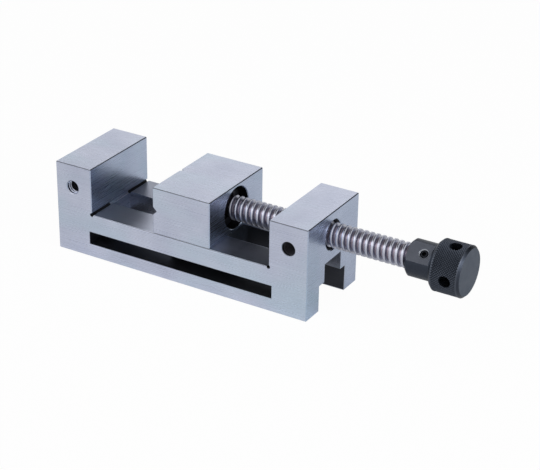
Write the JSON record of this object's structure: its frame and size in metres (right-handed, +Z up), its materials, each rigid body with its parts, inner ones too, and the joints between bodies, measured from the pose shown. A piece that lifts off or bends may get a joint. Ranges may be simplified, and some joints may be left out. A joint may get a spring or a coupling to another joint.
{
  "type": "precision vise",
  "caption": "Ground steel toolmaker's vise with a fixed jaw, a sliding V-grooved jaw on ways, a lead screw and a round knurled knob with cross holes.",
  "frame": {"origin": "centre of the body's underside, on the centre line between the side faces and halfway along the body", "axes": "+X runs along the ways from the fixed jaw to the knob, +Z is up, and +Y is the side away from the picture's camera"},
  "size_m": [0.2192, 0.05, 0.0493],
  "materials": {
    "ground_steel": "hardened tool steel, fine ground",
    "screw_steel": "turned and threaded bright steel",
    "bearing_steel": "turned steel",
    "black_oxide": "black oxide on turned steel"
  },
  "bodies": {
    "vise_base": {"vise_body": "ground_steel"},
    "slide_jaw": {"moving_jaw": "ground_steel", "keeper_plate": "ground_steel", "keeper_washer_front": "black_oxide", "keeper_screw_front": "black_oxide", "keeper_washer_rear": "black_oxide", "keeper_screw_rear": "black_oxide", "retaining_ring": "bearing_steel", "front_thrust_washer": "bearing_steel", "rear_thrust_washer": "bearing_steel"},
    "spindle": {"lead_screw": "screw_steel", "clamp_knob": "black_oxide", "knob_set_screw": "black_oxide"}
  },
  "joints": [
    {"name": "jaw_travel", "type": "slide", "parent": "vise_base", "child": "slide_jaw", "axis": [1, 0, 0], "range_m": [-0.0376, 0.0334]},
    {"name": "spindle_turn", "type": "hinge", "parent": "slide_jaw", "child": "spindle", "pos_m": [0.01, 0, 0.0365], "axis": [1, 0, 0], "range_deg": [-4264, 3788]}
  ],
  "couplings": [
    {"joint": "spindle_turn", "follows": "jaw_travel", "rad_per_m": 1979}
  ]
}
